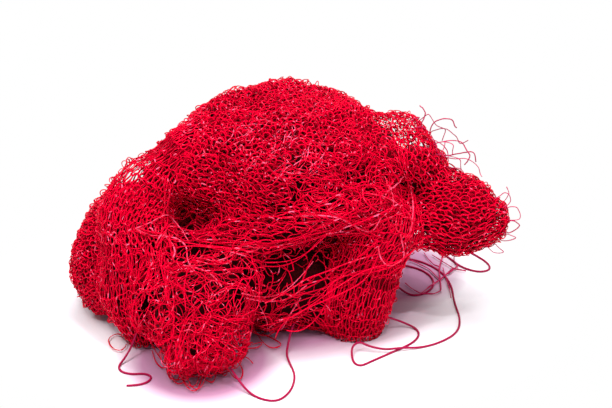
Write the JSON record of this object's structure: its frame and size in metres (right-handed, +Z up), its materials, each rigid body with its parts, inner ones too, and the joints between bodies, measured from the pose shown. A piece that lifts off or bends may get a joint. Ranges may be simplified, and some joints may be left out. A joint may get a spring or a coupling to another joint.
{
  "type": "pot scrubber",
  "caption": "Crumpled knitted plastic net pot scrubber: a loose hand pad of net folds with pulled strands, for scouring pots and dishes.",
  "frame": {"origin": "on the table, under the middle of the folds' box", "axes": "+X towards the free flap, along the longest side, -Y the side with the frayed bunch and the hanging leg, +Z up"},
  "size_m": [0.1205, 0.0968, 0.0628],
  "materials": {
    "net": "glossy knitted red plastic tape",
    "strand": "glossy red plastic strand"
  },
  "bodies": {
    "heap": {"crown_fold": "net", "hanging_leg_fold": "net", "left_front_fold": "net", "frayed_bunch": "net", "left_roll": "net", "right_shoulder": "net", "back_left_fold": "net", "back_right_fold": "net", "stretched_strand_band": "strand", "diagonal_strand_bundle": "strand", "centre_fold": "net", "inner_pack": "net", "front_strand_loop": "strand", "right_strand_loop": "strand", "back_strand_loop": "strand", "under_flap_strand": "strand", "left_strand_loop": "strand"},
    "flap": {"right_flap": "net"}
  },
  "joints": [
    {"name": "flap_flex", "type": "hinge", "parent": "heap", "child": "flap", "pos_m": [0.038, 0.0015, 0.033], "axis": [0, -1, 0], "range_deg": [-15, 20], "stiffness_Nm_per_rad": 0.01}
  ]
}
